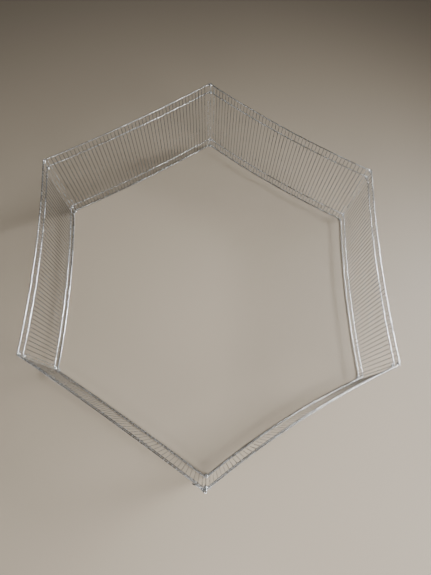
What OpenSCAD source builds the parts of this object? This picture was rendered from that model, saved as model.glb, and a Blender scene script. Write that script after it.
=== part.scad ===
// Folding wire playpen for mice, hamsters and other small pets.
// Six welded wire panels stand in a ring, open above and below. The ends of every rail are
// bent into eyes, and the eyes of neighbouring panels stack around one upright rod at each
// corner. Five rods stay in; the rod of the front corner lifts out by its bent handle.
// Origin: middle of the ring, on the floor. +Z is up, and the front corner points along -Y.

/* [Ring] */
// Hinge axis to hinge axis along one panel
panel_l = 476; // [300:2:640]
// Inside angle of the back and front corners
angle_front = 116; // [100:1:140]
// Inside angle of the right back and left front corners
angle_side = 124; // [100:1:140]

/* [Panels] */
// Lowest rail to highest rail, middle to middle
panel_h = 257; // [160:1:420]
// Highest rail to the rail below it
top_pair = 27; // [15:1:50]
// Lowest rail to the rail above it
bottom_pair = 30; // [15:1:50]
// Spacing of the upright bars
bar_pitch = 10; // [7:0.5:20]
// Hinge axis to the first upright of a panel
end_gap = 8; // [7:0.5:14]

/* [Wire] */
// Diameter of the rails and of the end uprights
rail_d = 2.5; // [2:0.1:3.5]
// Diameter of the thin upright bars
bar_d = 1.6; // [1.2:0.1:2.2]
// Diameter of the corner rods
rod_d = 3; // [2.4:0.1:4]
// Turn of an eye around its rod, in degrees
eye_wrap = 270; // [200:5:280]

/* [Inward bow at the middle of each panel] */
// Back right panel
bow_back_right = 11; // [3:1:16]
// Right panel
bow_right = 9; // [3:1:16]
// Front right panel
bow_front_right = 14; // [3:1:16]
// Front left panel
bow_front_left = 3; // [3:1:16]
// Left panel
bow_left = 10; // [3:1:16]
// Back left panel
bow_back_left = 7; // [3:1:16]

/* [Closing rod] */
// Diameter of the bent handle
handle_d = 2.6; // [2:0.1:2.8]
// How far the handle's first turn carries it out of the rod's line
handle_out = 5.6; // [5.4:0.2:12]
// Length of each of the handle's two runs along the panel
handle_run = 14; // [8:1:40]
// Angle that the first run closes in by, and that the second opens out by
handle_flare = 10; // [2:1:16]

/* [Fits] */
// Radial clearance of a rod in an eye
rod_clear = 0.08; // [0.02:0.01:0.1]
// Gap between two stacked eyes
stack_gap = 0.3; // [0.2:0.05:0.6]
// Depth that welded wires sink into each other
weld_bite = 0.12; // [0.05:0.01:0.2]
// Depth that a staked collar bites into its eye
stake_bite = 0.02; // [0.01:0.01:0.04]
// Swell of a wire where a bend begins, less than the clearance of a rod
bend_swell = 0.06; // [0.05:0.01:0.07]
// Height of a rod's top end above the eyes
rod_proud = 2; // [0.5:0.5:6]
// Lift of a rod's lower end and of the bars off the floor
foot_gap = 0.4; // [0.2:0.1:0.8]

/* [Hidden] */
$fn = 48;
arc_fn = 1400;
rail_r = rail_d / 2;
bar_r = bar_d / 2;
rod_r = rod_d / 2;
handle_r = handle_d / 2;

// Middle line of an eye around its rod, which is also how far the rails stand outside the axis
eye_r = rod_r + rod_clear + rail_r;

// Every second panel sits one wire higher, so that its eyes lie on its neighbours' eyes
stack_step = rail_d + stack_gap;

// The opposite corners have equal angles, so the ring closes in every folded position
turn_side = 180 - angle_side;
turn_both = angle_front;
heading_back = -90 + atan2(sin(turn_side) + sin(turn_both), 1 + cos(turn_side) + cos(turn_both));
heading = [for (half = [0, 180], turn = [0, turn_side, turn_both]) heading_back - turn - half];
function along(h) = panel_l * [cos(h), sin(h)];
corner_back = -(along(heading[0]) + along(heading[1]) + along(heading[2])) / 2;
corner_right_back = corner_back + along(heading[0]);
corner_right_front = corner_right_back + along(heading[1]);
corner = [corner_back, corner_right_back, corner_right_front,
          -corner_back, -corner_right_back, -corner_right_front];

// Panels in order, clockwise from the back corner
BACK_RIGHT = 0;
RIGHT = 1;
FRONT_RIGHT = 2;
FRONT_LEFT = 3;
LEFT = 4;
BACK_LEFT = 5;
bow = [bow_back_right, bow_right, bow_front_right, bow_front_left, bow_left, bow_back_left];
function raised(panel) = panel % 2;
function lift(panel) = raised(panel) * stack_step;

// Rails touch the eye circles as tangents, on an arc whose centre lies outside the ring
function arc_span(panel) = (pow(panel_l / 2, 2) + pow(bow[panel], 2)) / (2 * bow[panel]);
function arc_r(panel) = arc_span(panel) - eye_r;
function arc_half(panel) = asin(panel_l / 2 / arc_span(panel));

// Uprights stand outside the rails of the low panels and inside those of the raised ones
function weld_side(panel) = raised(panel) ? 1 : -1;
function weld_r(panel, wire_r) = arc_r(panel) + weld_side(panel) * (rail_r - weld_bite + wire_r);
function end_angle(panel) = arc_half(panel) - asin(end_gap / arc_span(panel));

// Rail heights over the underside of a panel, lowest first
rail_z = [rail_r, rail_r + bottom_pair, rail_r + panel_h - top_pair, rail_r + panel_h];
panel_top = rail_z[3] + rail_r;
eyes_top = panel_top + stack_step;

// Two lengths of wire stop this far from the middle of the swollen bend that joins them
bend_gap = 0.3;

// ---- Placing ----

// A panel's own axes: x runs from its first corner to its second, +y points out of the ring
module on_panel(panel) {
    translate([corner[panel][0], corner[panel][1], lift(panel)])
        rotate([0, 0, heading[panel]])
            children();
}

// The axes of the arc that a panel's rails follow, turned so that x points at mid panel
module on_arc(panel) {
    translate([panel_l / 2, arc_span(panel) - bow[panel], 0])
        rotate([0, 0, -90])
            children();
}

// ---- Wire shapes ----

// A round wire bent to a radius, from angle start over an angle of sweep
module bent_wire(radius, start, sweep, wire_r, fn = $fn) {
    rotate([0, 0, start])
        rotate_extrude(angle = sweep, $fn = fn)
            translate([radius, 0])
                circle(r = wire_r, $fn = 32);
}

// An upright wire from z0 to z1
module upright(x, y, z0, z1, wire_r) {
    translate([x, y, z0])
        cylinder(h = z1 - z0, r = wire_r, $fn = 24);
}

// A straight wire between two points at one height, stopping short inside the bends at its ends
module run(from, to, wire_r) {
    step = to - from;
    translate([from[0], from[1], 0])
        rotate([0, 0, atan2(step[1], step[0])])
            rotate([0, 90, 0])
                translate([0, 0, bend_gap])
                    cylinder(h = norm(step) - 2 * bend_gap, r = wire_r);
}

// The round, slightly swollen bend at the end of a wire that comes in at an angle
module bend(at, wire_r, angle = 0) {
    translate([at[0], at[1], 0])
        rotate([0, 0, angle])
            rotate([0, 90, 0])
                sphere(r = wire_r + bend_swell);
}

// The eye at one end of a rail, turning left (side = 1) or right (side = -1) around its rod
module eye(half, side) {
    start_gap = asin(bend_gap / eye_r);
    rotate([0, 0, 90 - side * half]) {
        rotate([0, 0, side * start_gap])
            bent_wire(eye_r, 0, side * (eye_wrap - start_gap), rail_r);
        bend([eye_r, 0], rail_r);
    }
}

// ---- Panel pieces ----

// One rail with the eye at each of its ends
module rail(panel, level) {
    half = arc_half(panel);
    trim = asin(bend_gap / arc_span(panel));
    color("gainsboro")
        on_panel(panel)
            translate([0, 0, rail_z[level]]) {
                on_arc(panel)
                    bent_wire(arc_r(panel), trim - half, 2 * (half - trim), rail_r, arc_fn);
                eye(half, 1);
                translate([panel_l, 0, 0])
                    eye(half, -1);
            }
}

// The thicker upright near each end
module end_wires(panel) {
    color("gainsboro")
        on_panel(panel)
            on_arc(panel)
                for (angle = [-end_angle(panel), end_angle(panel)])
                    rotate([0, 0, angle])
                        upright(weld_r(panel, rail_r), 0, foot_gap, panel_top - foot_gap, rail_r);
}

// The thin bars between them, evenly spaced
module bars(panel) {
    spaces = round((panel_l - 2 * end_gap) / bar_pitch);
    color("silver")
        on_panel(panel)
            on_arc(panel)
                for (i = [1 : spaces - 1])
                    rotate([0, 0, end_angle(panel) * (2 * i / spaces - 1)])
                        upright(weld_r(panel, bar_r), 0, foot_gap, panel_top - foot_gap, bar_r);
}

// ---- Corner rods ----

// A rod that stays in. Its staked collars sit tight in the four eyes of the raised panel.
module corner_rod(at) {
    top = eyes_top + rod_proud;
    color("darkgray")
        translate([corner[at][0], corner[at][1], 0]) {
            upright(0, 0, foot_gap, top - rod_r, rod_r);
            translate([0, 0, top - rod_r])
                sphere(r = rod_r);
            for (z = rail_z)
                translate([0, 0, stack_step + z - rail_r / 2])
                    cylinder(h = rail_r, r = rod_r + rod_clear + stake_bite);
        }
}

// The rod that lifts out. Its handle turns back over the front left panel's top rail.
module closing_rod() {
    handle_z = eyes_top + stack_gap + rod_r + bend_swell;
    turned = [0, handle_out];
    middle = turned + handle_run * [cos(handle_flare), -sin(handle_flare)];
    tip = middle + handle_run * [cos(handle_flare), sin(handle_flare)];
    turn_gap = asin(bend_gap / (handle_out / 2));
    color("darkgray")
        translate([corner[FRONT_LEFT][0], corner[FRONT_LEFT][1], 0])
            rotate([0, 0, heading[FRONT_LEFT]]) {
                upright(0, 0, foot_gap, handle_z - bend_gap, rod_r);
                translate([0, 0, handle_z]) {
                    bend([0, 0], rod_r);
                    translate([0, handle_out / 2, 0])
                        bent_wire(handle_out / 2, 90 + turn_gap, 180 - 2 * turn_gap, handle_r);
                    bend(turned, handle_r);
                    run(turned, middle, handle_r);
                    bend(middle, handle_r, -handle_flare);
                    run(middle, tip, handle_r);
                    bend(tip, handle_r, handle_flare);
                }
            }
}

rail(BACK_RIGHT, 0);  // back_right_rail_bottom
rail(BACK_RIGHT, 1);  // back_right_rail_lower
rail(BACK_RIGHT, 2);  // back_right_rail_upper
rail(BACK_RIGHT, 3);  // back_right_rail_top
end_wires(BACK_RIGHT);  // back_right_end_wires
bars(BACK_RIGHT);  // back_right_bars
rail(RIGHT, 0);  // right_rail_bottom
rail(RIGHT, 1);  // right_rail_lower
rail(RIGHT, 2);  // right_rail_upper
rail(RIGHT, 3);  // right_rail_top
end_wires(RIGHT);  // right_end_wires
bars(RIGHT);  // right_bars
rail(FRONT_RIGHT, 0);  // front_right_rail_bottom
rail(FRONT_RIGHT, 1);  // front_right_rail_lower
rail(FRONT_RIGHT, 2);  // front_right_rail_upper
rail(FRONT_RIGHT, 3);  // front_right_rail_top
end_wires(FRONT_RIGHT);  // front_right_end_wires
bars(FRONT_RIGHT);  // front_right_bars
rail(FRONT_LEFT, 0);  // front_left_rail_bottom
rail(FRONT_LEFT, 1);  // front_left_rail_lower
rail(FRONT_LEFT, 2);  // front_left_rail_upper
rail(FRONT_LEFT, 3);  // front_left_rail_top
end_wires(FRONT_LEFT);  // front_left_end_wires
bars(FRONT_LEFT);  // front_left_bars
rail(LEFT, 0);  // left_rail_bottom
rail(LEFT, 1);  // left_rail_lower
rail(LEFT, 2);  // left_rail_upper
rail(LEFT, 3);  // left_rail_top
end_wires(LEFT);  // left_end_wires
bars(LEFT);  // left_bars
rail(BACK_LEFT, 0);  // back_left_rail_bottom
rail(BACK_LEFT, 1);  // back_left_rail_lower
rail(BACK_LEFT, 2);  // back_left_rail_upper
rail(BACK_LEFT, 3);  // back_left_rail_top
end_wires(BACK_LEFT);  // back_left_end_wires
bars(BACK_LEFT);  // back_left_bars
corner_rod(BACK_RIGHT);  // back_rod
corner_rod(RIGHT);  // right_back_rod
corner_rod(FRONT_RIGHT);  // right_front_rod
corner_rod(LEFT);  // left_front_rod
corner_rod(BACK_LEFT);  // left_back_rod
closing_rod();
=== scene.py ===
# %% [markdown]
# # A folding wire playpen for small pets
# The real thing is six panels of welded wire, standing in a ring. The ends of every rail are
# bent into eyes, and the eyes of two neighbouring panels are stacked on an upright rod, so each
# corner is a hinge. The rod of the front corner has a bent handle and lifts out.
#
# The CAD model is loaded first. It fixes every size and every moving part. Everything made
# here is in metres, stands in the same place, and rides on one of the model's moving bodies.

import math

import bpy
from mathutils import Matrix, Vector


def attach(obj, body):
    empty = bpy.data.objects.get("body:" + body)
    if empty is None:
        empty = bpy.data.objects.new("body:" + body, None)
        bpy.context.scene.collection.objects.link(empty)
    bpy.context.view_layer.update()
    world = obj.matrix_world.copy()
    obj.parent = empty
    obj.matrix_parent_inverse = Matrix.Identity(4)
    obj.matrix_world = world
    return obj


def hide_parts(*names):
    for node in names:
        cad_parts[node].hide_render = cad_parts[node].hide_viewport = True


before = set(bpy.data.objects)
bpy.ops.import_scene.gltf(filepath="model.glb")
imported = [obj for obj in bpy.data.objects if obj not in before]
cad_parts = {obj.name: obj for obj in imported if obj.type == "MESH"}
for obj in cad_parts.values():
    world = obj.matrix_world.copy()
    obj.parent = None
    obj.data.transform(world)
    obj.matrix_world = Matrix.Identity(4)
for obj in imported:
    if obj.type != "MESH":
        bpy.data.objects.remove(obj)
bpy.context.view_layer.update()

# %% [markdown]
# ## The ring of panels
# The corners are the places of the six rods. Going round clockwise from the back, each panel
# starts at its corner with a heading, and ends at the next corner. Opposite corners have the
# same angle, which is what lets the ring close in every folded position.
#
# Every second panel stands one wire higher, so that its eyes lie on its neighbours' eyes, and
# those raised panels have their bars inside their rails. The others have them outside. Each
# panel is a little bowed, because wire mesh is never quite flat: its rails follow a long arc
# whose centre lies outside the ring.

# %% Sizes of the panels
MM = 0.001
PANEL_LENGTH = 476 * MM
ANGLE_FRONT, ANGLE_SIDE = 116, 124
RAIL_RADIUS = 1.25 * MM
BAR_RADIUS = 0.8 * MM
ROD_RADIUS = 1.5 * MM
ROD_CLEARANCE = 0.08 * MM
STACK_GAP = 0.3 * MM
STACK_STEP = 2 * RAIL_RADIUS + STACK_GAP
BEND_SWELL = 0.06 * MM
CHAMFER = 0.3 * MM
WELD_BITE = 0.12 * MM
END_GAP = 8 * MM
FOOT_GAP = 0.4 * MM
BAR_SPACES = 46
PANEL_TOP = 259.5 * MM
RAIL_HEIGHTS = [1.25 * MM, 31.25 * MM, 231.25 * MM, 258.25 * MM]
EYE_RADIUS = ROD_RADIUS + ROD_CLEARANCE + RAIL_RADIUS
EYES_TOP = PANEL_TOP + STACK_STEP

PANELS = ["back_right", "right", "front_right", "front_left", "left", "back_left"]
BOWS = [11 * MM, 9 * MM, 14 * MM, 3 * MM, 10 * MM, 7 * MM]

# %% Corners of the ring and headings of the panels
turns = [0, math.radians(180 - ANGLE_SIDE), math.radians(ANGLE_FRONT)]
first_heading = -math.pi / 2 + math.atan2(
    sum(math.sin(turn) for turn in turns), sum(math.cos(turn) for turn in turns))
headings = [first_heading - turn - half for half in (0, math.pi) for turn in turns]


def along(heading):
    return Vector((math.cos(heading), math.sin(heading), 0)) * PANEL_LENGTH


corners = [-(along(headings[0]) + along(headings[1]) + along(headings[2])) / 2]
for heading in headings[:5]:
    corners.append(corners[-1] + along(heading))
print("corners", [(round(c.x, 4), round(c.y, 4)) for c in corners])


# %% What each panel needs to know about itself
class Panel:
    """One panel's place in the ring and the arc that its rails follow."""

    def __init__(self, index):
        self.name = PANELS[index]
        self.raised = index % 2 == 1
        self.lift = STACK_STEP if self.raised else 0
        self.heading = headings[index]
        self.corner = corners[index]
        self.next_corner = corners[index] + along(self.heading)
        bow = BOWS[index]
        span = (PANEL_LENGTH ** 2 / 4 + bow ** 2) / (2 * bow)
        self.half = math.asin(PANEL_LENGTH / 2 / span)
        self.arc = span - EYE_RADIUS
        self.centre = self.place(PANEL_LENGTH / 2, span - bow)
        self.side = 1 if self.raised else -1
        self.end = self.half - math.asin(END_GAP / span)

    def place(self, x, y, z=0.0):
        """A point of the panel's own axes, x along it and y out of the ring, in the ring."""
        turned = Matrix.Rotation(self.heading, 3, "Z") @ Vector((x, y, 0))
        return self.corner + turned + Vector((0, 0, z))

    def on_arc(self, radius, angle, z=0.0):
        """A point at a radius from the arc's centre, at an angle from mid panel."""
        turn = self.heading - math.pi / 2 + angle
        outwards = Vector((math.cos(turn), math.sin(turn), 0))
        return self.centre + outwards * radius + Vector((0, 0, z))


panels = [Panel(index) for index in range(6)]
print("arc radii in metres", {p.name: round(p.arc, 2) for p in panels})

# %% [markdown]
# ## A rail
# A rail is one round wire: an eye of three quarters of a turn, the long arc of the panel, and
# the eye at the other end. It could be a curve with a round bevel. Here a small circle is
# spun, which is closer to what the wire bender does: it is turned round the rod's axis, then
# round the arc's centre, then round the next rod's axis. Each spin starts where the last one
# ended, so the wire is one clean tube. Both cut ends are filled and get a softened rim.

# %% Helpers for modelling by hand
def begin(add, name, **size):
    """Adds a primitive at its place, puts the place into the mesh and opens it for editing."""
    bpy.ops.object.select_all(action="DESELECT")
    add(**size)
    piece = bpy.context.object
    piece.name = piece.data.name = name
    bpy.ops.object.transform_apply(location=True, rotation=True, scale=True)
    bpy.ops.object.mode_set(mode="EDIT")
    bpy.ops.mesh.select_all(action="SELECT")
    return piece


def spin(centre, angle, steps, copies=False):
    """Spins what is selected anticlockwise round an upright axis."""
    bpy.ops.mesh.spin(steps=steps, angle=-angle, center=centre, axis=(0, 0, 1), dupli=copies)


def finish_piece(piece):
    """Merges doubles, points all faces outwards, and shades the piece smooth."""
    bpy.ops.mesh.select_all(action="SELECT")
    bpy.ops.mesh.remove_doubles(threshold=0.00001)
    bpy.ops.mesh.normals_make_consistent(inside=False)
    bpy.ops.object.mode_set(mode="OBJECT")
    bpy.ops.object.shade_smooth_by_angle(angle=math.radians(35))
    return piece


def cap_ends(rim):
    """Fills the open ends of a wire and rounds their rims."""
    bpy.ops.mesh.select_all(action="SELECT")
    bpy.ops.mesh.fill_holes(sides=0)
    bpy.ops.mesh.select_mode(type="FACE")
    bpy.ops.mesh.select_face_by_sides(number=4, type="GREATER", extend=False)
    bpy.ops.mesh.bevel(offset=rim, offset_type="OFFSET", segments=2, affect="EDGES")
    bpy.ops.mesh.select_mode(type="VERT")


# %% Make the four rails of each panel
def rail(panel, name, z):
    """One rail: left eye, arc and right eye."""
    start = panel.place(EYE_RADIUS * math.cos(-panel.half), EYE_RADIUS * math.sin(-panel.half), z)
    piece = begin(bpy.ops.mesh.primitive_circle_add, name, vertices=16, radius=RAIL_RADIUS,
                  location=start, rotation=(math.pi / 2, 0, panel.heading - panel.half))
    turn = math.radians(270)
    spin(panel.corner, -turn, 26)
    spin(panel.centre, 2 * panel.half, 48)
    spin(panel.next_corner, -turn, 26)
    cap_ends(0.35 * MM)
    return finish_piece(piece)


def copy_of(piece, name, up):
    """A copy with its own mesh, moved up."""
    bpy.ops.object.select_all(action="DESELECT")
    piece.select_set(True)
    bpy.context.view_layer.objects.active = piece
    bpy.ops.object.duplicate(linked=False)
    copy = bpy.context.object
    copy.name = copy.data.name = name
    bpy.ops.transform.translate(value=(0, 0, up))
    bpy.ops.object.transform_apply(location=True, rotation=True, scale=True)
    return copy


LEVELS = ["bottom", "lower", "upper", "top"]
rails = {}
for panel in panels:
    low = rail(panel, f"bottom_rail_{panel.name}", panel.lift + RAIL_HEIGHTS[0])
    rails[panel.name] = [low] + [
        copy_of(low, f"{level}_rail_{panel.name}", z - RAIL_HEIGHTS[0])
        for level, z in zip(LEVELS[1:], RAIL_HEIGHTS[1:])]
    print(panel.name, "rail", len(low.data.polygons), "faces",
          [round(x, 4) for x in low.dimensions])

# %% [markdown]
# ## Uprights and their welds
# Wire mesh is held together by resistance welds: where two wires cross, a press squeezes them
# and a current melts the contact, so a little metal is pushed out round it. From far off that
# only dulls the crossing. Close up it is what makes the mesh look welded and not just crossed.
#
# One upright is modelled with a bead at each of its four crossings, and the lot is then spun
# round the arc's centre as copies. The bar is a cylinder with softened ends, and the bead a
# small ball squashed between the wires. Both have few faces, because there are hundreds.


# %% One upright with its four beads, spun along the panel
def uprights(panel, name, radius, sides, bead, first, sweep, steps):
    """A row of welded uprights. The bead's size is radial, along the rail and upright."""
    radius_at = panel.arc + panel.side * (RAIL_RADIUS - WELD_BITE + radius)
    turn = panel.heading - math.pi / 2 + first
    piece = begin(bpy.ops.mesh.primitive_cylinder_add, name, vertices=sides, radius=radius,
                  depth=PANEL_TOP - 2 * FOOT_GAP, rotation=(0, 0, turn),
                  location=panel.on_arc(radius_at, first, panel.lift + PANEL_TOP / 2))
    bpy.ops.mesh.select_mode(type="FACE")
    bpy.ops.mesh.select_face_by_sides(number=4, type="GREATER", extend=False)
    bpy.ops.mesh.bevel(offset=radius * 0.4, offset_type="OFFSET", segments=2, affect="EDGES")
    bpy.ops.mesh.select_mode(type="VERT")
    bpy.ops.mesh.select_all(action="DESELECT")
    contact = panel.arc + panel.side * (RAIL_RADIUS - WELD_BITE / 2)
    bpy.ops.mesh.primitive_uv_sphere_add(
        segments=10, ring_count=6, radius=1, scale=bead, rotation=(0, 0, turn),
        location=panel.on_arc(contact, first, panel.lift + RAIL_HEIGHTS[0]))
    for low, high in zip(RAIL_HEIGHTS, RAIL_HEIGHTS[1:]):
        bpy.ops.mesh.duplicate_move(TRANSFORM_OT_translate={"value": (0, 0, high - low)})
    bpy.ops.mesh.select_all(action="SELECT")
    spin(panel.centre, sweep, steps, copies=True)
    return finish_piece(piece)


bars, end_wires = {}, {}
for panel in panels:
    step = 2 * panel.end / BAR_SPACES
    bars[panel.name] = uprights(
        panel, f"thin_bars_{panel.name}", BAR_RADIUS, 12, (0.5 * MM, 1.15 * MM, 1.2 * MM),
        step - panel.end, (BAR_SPACES - 2) * step, BAR_SPACES - 2)
    end_wires[panel.name] = uprights(
        panel, f"thick_uprights_{panel.name}", RAIL_RADIUS, 16, (0.75 * MM, 1.55 * MM, 1.2 * MM),
        -panel.end, 2 * panel.end, 1)
    print(panel.name, "bars have", len(bars[panel.name].data.polygons), "faces")

# %% [markdown]
# ## The five rods that stay in
# A rod is a turned shape, so it could be a profile spun round its axis. Here a disc is pulled
# up ring by ring, as a lathe tool would go: a small chamfer at the foot, the long shaft, a
# staked swelling in each eye that holds it, and a round nose. Each pull is an extrusion with a
# change of width.


# %% Pull a rod up from a disc
def pull(up, wider=1.0, about=(0, 0, 0)):
    """Extrudes the selected disc upwards, then widens or narrows it."""
    bpy.ops.mesh.extrude_region_move(TRANSFORM_OT_translate={"value": (0, 0, up)})
    if wider != 1:
        bpy.ops.transform.resize(value=(wider, wider, 1), center_override=about)


def corner_rod(name, at):
    """A rod with a chamfered foot, a staked collar in each raised eye and a round nose."""
    collar = 1.6 / 1.5
    profile = [(FOOT_GAP + CHAMFER, ROD_RADIUS / (ROD_RADIUS - CHAMFER))]
    for z in RAIL_HEIGHTS:
        middle = STACK_STEP + z
        profile += [(middle - 0.8 * MM, 1), (middle - 0.5 * MM, collar),
                    (middle + 0.5 * MM, 1), (middle + 0.8 * MM, 1 / collar)]
    nose = EYES_TOP + 2 * MM - ROD_RADIUS
    profile.append((nose, 1))
    width = 1.0
    for turn in (22, 44, 64, 80):
        profile.append((nose + ROD_RADIUS * math.sin(math.radians(turn)),
                        math.cos(math.radians(turn)) / width))
        width = math.cos(math.radians(turn))
    piece = begin(bpy.ops.mesh.primitive_circle_add, name, vertices=20, fill_type="NGON",
                  radius=ROD_RADIUS - CHAMFER, location=at + Vector((0, 0, FOOT_GAP)))
    height = FOOT_GAP
    for z, wider in profile:
        pull(z - height, wider, at)
        height = z
    return finish_piece(piece)


ROD_CORNERS = {"back_rod": 0, "right_back_rod": 1, "right_front_rod": 2,
               "left_front_rod": 4, "left_back_rod": 5}
rods = {name: corner_rod(f"hinge_{name}", corners[at]) for name, at in ROD_CORNERS.items()}
for name, rod in rods.items():
    print(name, [round(x * 1000, 1) for x in rod.dimensions], "mm")

# %% [markdown]
# ## The closing rod
# The rod of the front corner is the gate. Its top is bent over the eyes, curls round in a
# half turn, and runs back beside the top rail, first closing in and then opening out, so that
# a finger can catch it. It is a wire again, so the disc is pulled up, and then spun round the
# middle of each bend and extruded along each run.

# %% Bend the handle
HANDLE_RADIUS = 1.3 * MM
HANDLE_Z = EYES_TOP + STACK_GAP + ROD_RADIUS + BEND_SWELL
HANDLE_OUT = 5.6 * MM
RUN_LENGTH = 14 * MM
FLARE = 10
TOP_BEND = 1.6 * MM
FLARE_BEND = 3 * MM
NECK, TAPER = 0.8 * MM, 0.5 * MM
gate = panels[3]


def gate_way(degrees):
    """A direction in the front left panel's axes, as seen in the ring."""
    turn = gate.heading + math.radians(degrees)
    return Vector((math.cos(turn), math.sin(turn), 0))


def bend(centre, degrees, steps, axis=(0, 0, 1)):
    bpy.ops.mesh.spin(steps=steps, angle=-math.radians(degrees), center=centre, axis=axis)


def run(way, length):
    bpy.ops.mesh.extrude_region_move(TRANSFORM_OT_translate={"value": way * length})


closing = begin(bpy.ops.mesh.primitive_circle_add, "closing_rod_wire", vertices=20,
                fill_type="NGON", radius=ROD_RADIUS - CHAMFER,
                location=gate.corner + Vector((0, 0, FOOT_GAP)))
pull(CHAMFER, ROD_RADIUS / (ROD_RADIUS - CHAMFER), gate.corner)
pull(HANDLE_Z - TOP_BEND - FOOT_GAP - NECK)
pull(TAPER, HANDLE_RADIUS / ROD_RADIUS, gate.corner)
top = gate.corner + Vector((0, 0, HANDLE_Z)) + gate_way(180) * TOP_BEND
bend(top - Vector((0, 0, TOP_BEND)), 90, 6, gate_way(-90))
curl = top + gate_way(90) * HANDLE_OUT / 2
bend(curl, -180 - FLARE, 14)
run(gate_way(-FLARE), RUN_LENGTH)
run_end = curl + gate_way(90 - FLARE) * HANDLE_OUT / 2 + gate_way(-FLARE) * RUN_LENGTH
bend(run_end + gate_way(90 - FLARE) * FLARE_BEND, 2 * FLARE, 4)
run(gate_way(FLARE), RUN_LENGTH)
bpy.ops.mesh.bevel(offset=0.9 * MM, offset_type="OFFSET", segments=4, affect="EDGES")
finish_piece(closing)
print("closing rod", [round(x * 1000, 1) for x in closing.dimensions], "mm")

# %% [markdown]
# ## Zinc
# The wires are bright zinc on steel. Seen close, zinc isn't one grey: it has a fine crystal
# spangle, faint streaks along the wire from the drawing die, duller and paler patches a few
# centimetres long, and a browner, matt spot at every weld, where the heat went through it.
#
# The thin bars are painted greyer and darker than the rails, the end uprights and the rods. This
# is painted shade: upright wires mirror the floor and catch no lamp, so they look dark.
#
# The pattern is built as arithmetic. A small class wraps one output of a node, so that
# ordinary Python signs add the Math nodes, and one method adds any other node.


# %% A socket that does arithmetic
class Signal:
    """One output of a shader node."""

    def __init__(self, tree, socket):
        self.tree, self.socket = tree, socket

    def node(self, kind, settings, values, out=0):
        """Adds a node: its settings first, then a value or a link for each socket."""
        made = self.tree.nodes.new(kind)
        for name, setting in settings.items():
            setattr(made, name, setting)
        for name, value in values.items():
            if isinstance(value, Signal):
                self.tree.links.new(value.socket, made.inputs[name])
            else:
                made.inputs[name].default_value = value
        return Signal(self.tree, made.outputs[out])

    def maths(self, operation, *values):
        return self.node("ShaderNodeMath", {"operation": operation}, dict(enumerate(values)))

    def __add__(self, other):
        return self.maths("ADD", self, other)

    def __sub__(self, other):
        return self.maths("SUBTRACT", self, other)

    def __rsub__(self, other):
        return self.maths("SUBTRACT", other, self)

    def __mul__(self, other):
        return self.maths("MULTIPLY", self, other)

    __radd__, __rmul__ = __add__, __mul__

    def __abs__(self):
        return self.maths("ABSOLUTE", self)

    def fade(self, low, high):
        """1 below low, 0 above high, and smooth in between."""
        return self.node("ShaderNodeMapRange", {"interpolation_type": "SMOOTHSTEP"},
                         {"Value": self, "From Min": low, "From Max": high,
                          "To Min": 1.0, "To Max": 0.0})

    def noise(self, scale):
        """Cloudy noise at these coordinates, from 0 to 1."""
        return self.node("ShaderNodeTexNoise", {}, {"Vector": self, "Scale": scale, "Detail": 3.0})

    def stretched(self, scale, turn=0.0, centre=(0, 0, 0)):
        """These coordinates from a centre, turned about the upright axis, then scaled."""
        moved = self.node("ShaderNodeVectorMath", {"operation": "SUBTRACT"}, {0: self, 1: centre})
        turned = self.node("ShaderNodeVectorRotate", {"rotation_type": "Z_AXIS"},
                           {"Vector": moved, "Angle": -turn})
        return self.node("ShaderNodeVectorMath", {"operation": "MULTIPLY"}, {0: turned, 1: scale})

    def mixed(self, low, high):
        """A colour between two, by this signal."""
        return self.node("ShaderNodeMix", {"data_type": "RGBA"}, {0: self, 6: low, 7: high},
                         out=2)


# %% The zinc finish
BRIGHT = (0.86, 0.87, 0.88, 1)
DULL = (0.46, 0.48, 0.50, 1)
# The two bar greys below are painted shade. They are darker than the bars' zinc is, so that the
# upright wires look dark.
SHADED_BAR_GREY = (0.30, 0.32, 0.34, 1)
SHADED_BAR_DARK = (0.12, 0.13, 0.15, 1)
SCORCHED = (0.26, 0.24, 0.22, 1)
SPANGLE = 620.0


def zinc(name, grain, weld_mask=None, fresh_or_shaded=BRIGHT, aged_or_shaded=DULL, patch=24.0):
    """Zinc on drawn wire. The grain stretches the streaks along the wire."""
    finish = bpy.data.materials.new(name)
    finish.use_nodes = True
    tree = finish.node_tree
    shader = tree.nodes["Principled BSDF"]
    place = Signal(tree, tree.nodes.new("ShaderNodeTexCoord").outputs["Object"])
    patches = place.noise(patch).fade(0.36, 0.62)
    spangle = place.node("ShaderNodeTexVoronoi", {}, {"Vector": place, "Scale": SPANGLE}, out=1)
    streaks = grain(place).noise(1.0)
    dull = 0.4 * patches + 0.4 * streaks + 0.35 * spangle - 0.15
    # For the thin bars, both colours mixed here are painted shade.
    colour = dull.mixed(fresh_or_shaded, aged_or_shaded)
    roughness = 0.13 + 0.08 * patches + 0.06 * streaks + 0.10 * spangle
    if weld_mask:
        welds = weld_mask(place)
        colour = (welds * 0.6).mixed(colour, SCORCHED)
        roughness = roughness + 0.10 * welds
    tree.links.new(colour.socket, shader.inputs["Base Color"])
    tree.links.new(roughness.socket, shader.inputs["Roughness"])
    shader.inputs["Metallic"].default_value = 1.0
    relief = place.node("ShaderNodeBump", {}, {"Strength": 0.25, "Distance": 0.00006,
                                               "Height": streaks + 0.5 * spangle})
    tree.links.new(relief.socket, shader.inputs["Normal"])
    return finish


def upright_welds(lift):
    """The scorched rings of an upright: a few millimetres at the height of each rail."""
    def mask(place):
        z = place.node("ShaderNodeSeparateXYZ", {}, {0: place}, out=2)
        found = None
        for height in RAIL_HEIGHTS:
            ring = abs(z - (lift + height)).fade(1.0 * MM, 3.2 * MM)
            found = ring if found is None else found.maths("MAXIMUM", found, ring)
        return found
    return mask


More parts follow.
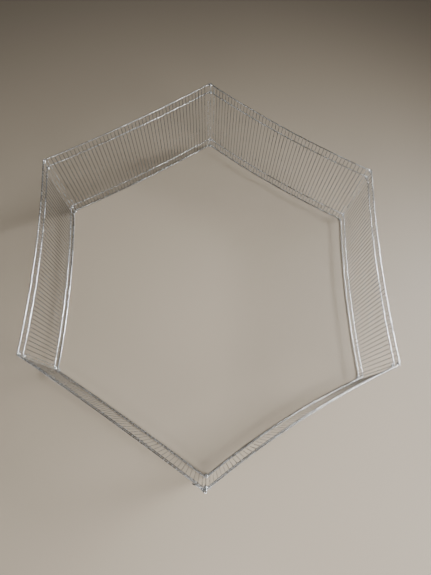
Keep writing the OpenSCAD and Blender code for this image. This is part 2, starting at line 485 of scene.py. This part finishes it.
def rail_welds(panel):
    """The scorched spots of a rail: one at each upright, by its angle from the arc's centre."""
    def mask(place):
        turned = place.stretched((1, 1, 1), panel.heading - math.pi / 2, panel.centre)
        x = place.node("ShaderNodeSeparateXYZ", {}, {0: turned}, out=0)
        y = place.node("ShaderNodeSeparateXYZ", {}, {0: turned}, out=1)
        angle = place.maths("ARCTAN2", y, x)
        step = 2 * panel.end / BAR_SPACES
        spaces = (angle + panel.end) * (1 / step)
        off = abs(spaces - spaces.maths("ROUND", spaces)) * (step * panel.arc)
        on_panel = abs(angle).fade(panel.end + 0.5 * MM / panel.arc,
                                   panel.end + 1 * MM / panel.arc)
        return off.fade(0.6 * MM, 1.6 * MM) * on_panel * 0.3
    return mask


for panel in panels:
    rail_finish = zinc(f"zinc_rail_{panel.name}",
                       lambda place, panel=panel: place.stretched((60, 2600, 2600), panel.heading),
                       rail_welds(panel))
    for piece in rails[panel.name]:
        piece.data.materials.append(rail_finish)
# The bars' finish mixes the two darker bar greys, which are painted shade.
for lift, label in ((0, "low"), (STACK_STEP, "raised")):
    shaded_bar_finish = zinc(f"zinc_bar_{label}", lambda place: place.stretched((500, 500, 12)),
                      upright_welds(lift), SHADED_BAR_GREY, SHADED_BAR_DARK)
    end_finish = zinc(f"zinc_upright_{label}", lambda place: place.stretched((900, 900, 30)),
                      upright_welds(lift))
    for panel in panels:
        if panel.lift == lift:
            bars[panel.name].data.materials.append(shaded_bar_finish)
            end_wires[panel.name].data.materials.append(end_finish)
rod_finish = zinc("zinc_rod", lambda place: place.stretched((1400, 1400, 40)), patch=40.0)
for piece in [*rods.values(), closing]:
    piece.data.materials.append(rod_finish)
print(len(bpy.data.materials), "materials")

# %% [markdown]
# ## What moves with what
# Each new piece rides on the CAD body that it belongs to and stands for its CAD node. The
# rods that stay in are staked to the raised panels' eyes, so they move with those panels.

# %% Ride on the bodies
for panel in panels:
    body = f"{panel.name}_panel"
    for piece, level in zip(rails[panel.name], LEVELS):
        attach(piece, body)
        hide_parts(f"{panel.name}_rail_{level}")
    for piece, node, wire in ((bars[panel.name], "bars", "bar_wire"),
                              (end_wires[panel.name], "end_wires", "rail_wire")):
        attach(piece, body)
        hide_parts(f"{panel.name}_{node}")
ROD_BODIES = {"back_rod": "back_left_panel", "left_back_rod": "back_left_panel",
              "right_back_rod": "right_panel", "right_front_rod": "right_panel",
              "left_front_rod": "front_left_panel"}
for name, body in ROD_BODIES.items():
    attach(rods[name], body)
    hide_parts(name)
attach(closing, "closing_rod")
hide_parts("closing_rod")

# %% [markdown]
# ## Floor, light and camera
# A plain pale floor and four soft lamps. A wire is a mirror rolled into a rod: it shines only
# where the lamp and the eye stand at the same angle to it, so each lamp picks out its own
# stretch of rail. The side window lights the front halves of the left and right panels, and
# the right window the rail near the back corner. Two of them are narrowed to a cone, which
# leaves the floor behind the ring darker. The camera looks down from a standing person's
# height in front of the front corner. Its forward and upward directions are given as vectors.

# %% Floor
begin(bpy.ops.mesh.primitive_plane_add, "floor", size=8, location=(0, 0.5, 0))
bpy.ops.mesh.subdivide(number_cuts=3)
bpy.ops.object.mode_set(mode="OBJECT")
floor = bpy.context.object
floor_finish = bpy.data.materials.new("pale_floor")
floor_finish.use_nodes = True
floor_shader = floor_finish.node_tree.nodes["Principled BSDF"]
floor_shader.inputs["Base Color"].default_value = (0.315, 0.264, 0.202, 1)
floor_shader.inputs["Roughness"].default_value = 0.5
floor.data.materials.append(floor_finish)


# %% Lights
def soft_lamp(name, place, aim, size, power, colour, spread=180):
    """A wide and a tall area lamp at a place, turned to what it lights."""
    lamp = bpy.data.objects.new(name, bpy.data.lights.new(name, "AREA"))
    lamp.data.shape = "RECTANGLE"
    lamp.data.size, lamp.data.size_y = size
    lamp.data.energy, lamp.data.color = power, colour
    lamp.data.spread = math.radians(spread)
    lamp.location = place
    lamp.rotation_euler = (Vector(aim) - Vector(place)).to_track_quat("-Z", "Y").to_euler()
    bpy.context.scene.collection.objects.link(lamp)
    return lamp


soft_lamp("right_window", (1.9, -1.3, 1.9), (0.5, -0.6, 0), (0.9, 0.9), 16, (1, 0.99, 0.97), 90)
soft_lamp("left_window", (-1.8, -0.75, 2.0), (0, 0.1, 0), (0.8, 0.5), 5.5, (0.97, 0.99, 1))
soft_lamp("front_fill", (0.1, -1.6, 1.3), (0.2, -0.7, 0), (1.0, 0.6), 26, (1, 0.98, 0.95))
soft_lamp("side_window", (2.4, 0.6, 2.0), (0, -0.2, 0.2), (1.3, 0.6), 13, (0.95, 0.98, 1), 45)
world = bpy.data.worlds.new("studio")
world.use_nodes = True
world.node_tree.nodes["Background"].inputs["Color"].default_value = (0.95, 0.97, 1, 1)
world.node_tree.nodes["Background"].inputs["Strength"].default_value = 0.035
bpy.context.scene.world = world

# %% Camera
camera = bpy.data.objects.new("camera", bpy.data.cameras.new("camera"))
camera.data.lens = 26.7
camera.data.sensor_width = 36
camera.location = (0.0034, -0.3785, 1.1683)
look = Vector((0.0141, 0.3141, -0.9493))
head = Vector((-0.0116, 0.9494, 0.3139))
right = look.cross(head).normalized()
head = right.cross(look).normalized()
camera.rotation_mode = "QUATERNION"
turned = Matrix((right, head, -look.normalized())).transposed()
camera.rotation_quaternion = turned.to_quaternion()
bpy.context.scene.collection.objects.link(camera)
bpy.context.scene.camera = camera
